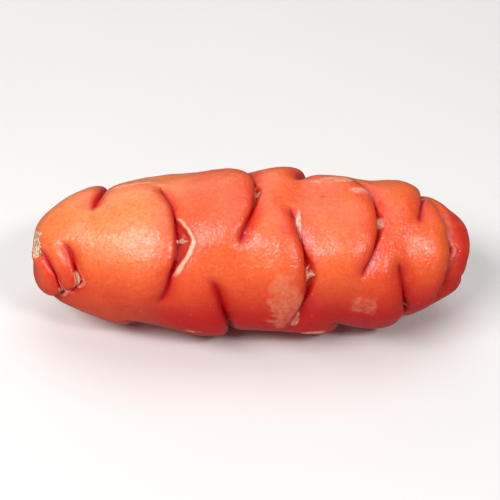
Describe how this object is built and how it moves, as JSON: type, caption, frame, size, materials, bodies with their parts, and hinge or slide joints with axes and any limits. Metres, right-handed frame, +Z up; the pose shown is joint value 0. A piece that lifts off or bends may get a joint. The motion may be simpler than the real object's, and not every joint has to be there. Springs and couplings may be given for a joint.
{
  "type": "new zealand yam (oca tuber)",
  "caption": "One whole New Zealand yam, an oca tuber, lying on its side: a stout, lumpy orange-red root with curved eye creases.",
  "frame": {"origin": "on the ground under the middle of the tuber's box", "axes": "+X along the tuber, from the stalk's scar to the growing tip; +Z up; -Y is the side that the picture shows"},
  "size_m": [0.085, 0.0344, 0.0319],
  "materials": {
    "skin": null
  },
  "bodies": {
    "root": {"tuber": "skin"}
  },
  "joints": []
}
